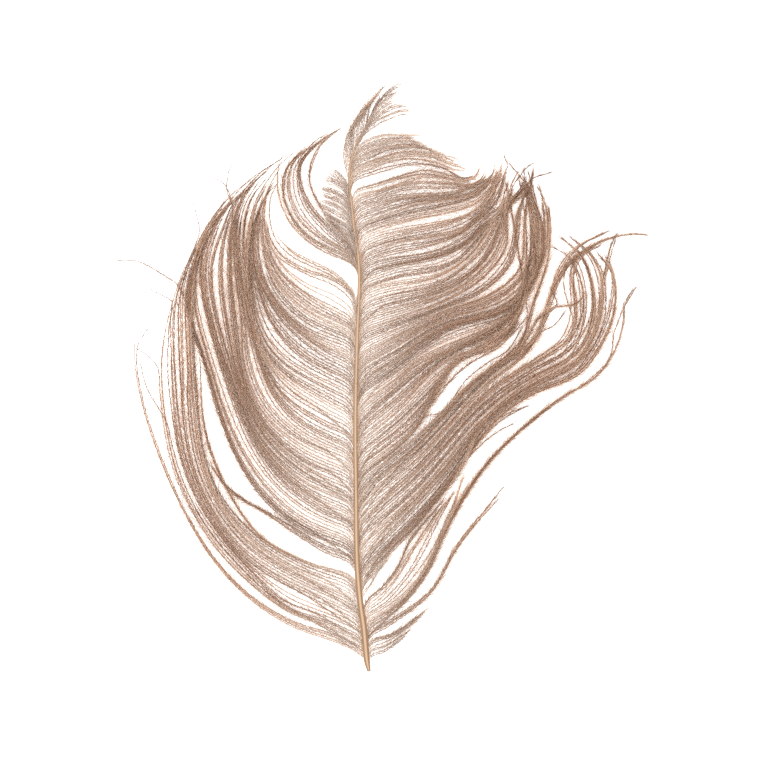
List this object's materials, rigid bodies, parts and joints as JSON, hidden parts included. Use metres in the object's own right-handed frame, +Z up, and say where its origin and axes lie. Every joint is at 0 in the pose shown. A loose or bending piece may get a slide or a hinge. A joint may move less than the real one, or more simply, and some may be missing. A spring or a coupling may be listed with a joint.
{
  "type": "ostrich feather",
  "caption": "Broad downy ostrich plume lying on its back: a tapering shaft with long loose barbs that have parted into locks and curl up at their tips.",
  "frame": {"origin": "centre of the feather's footprint, on the surface it lies on", "axes": "+Y from the cut end of the quill to the tip, +Z up from the surface, +X to the right seen from above"},
  "size_m": [0.2274, 0.2502, 0.0194],
  "materials": {
    "shaft": "satin",
    "barbs": "matte"
  },
  "bodies": {
    "root": {"shaft": "shaft", "left_lower_lock": "barbs", "left_main_lock": "barbs", "left_upper_lock": "barbs", "left_tuft": "barbs", "right_lower_lock": "barbs", "right_main_lock": "barbs", "right_upper_lock": "barbs", "tip_plume": "barbs"}
  },
  "joints": []
}
